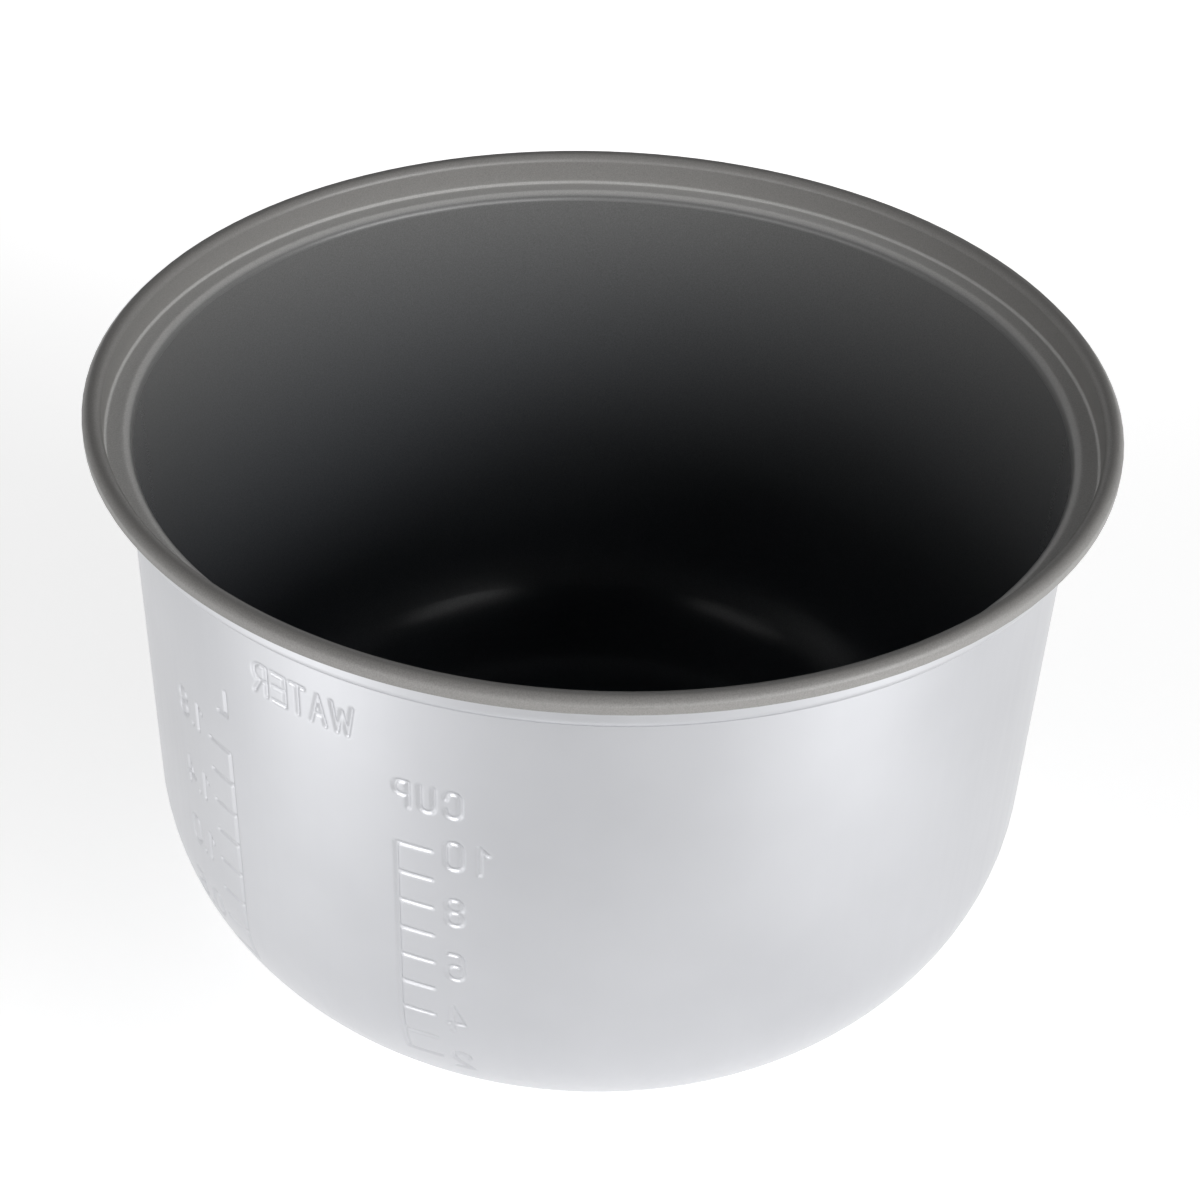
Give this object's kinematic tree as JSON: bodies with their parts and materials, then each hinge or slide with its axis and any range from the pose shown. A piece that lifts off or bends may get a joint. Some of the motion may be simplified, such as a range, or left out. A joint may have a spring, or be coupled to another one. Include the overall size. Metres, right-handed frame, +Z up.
{
  "type": "rice cooker inner pot",
  "caption": "Round deep-drawn aluminium cooking pot with a rounded base corner, a stepped rim with a rolled edge, pressed water scales and a non-stick lining.",
  "frame": {"origin": "centre of the base, on the surface the pot stands on", "axes": "+Z up along the pot's axis, -Y the front, with the pressed scales 34 degrees round from it towards -X"},
  "size_m": [0.245, 0.245, 0.1527],
  "materials": {
    "aluminium": "satin, fine matt grain",
    "nonstick": "dark grey fluoropolymer coating, semi-matt"
  },
  "bodies": {
    "root": {"pot_shell": "aluminium", "nonstick_coating": "nonstick"}
  },
  "joints": []
}
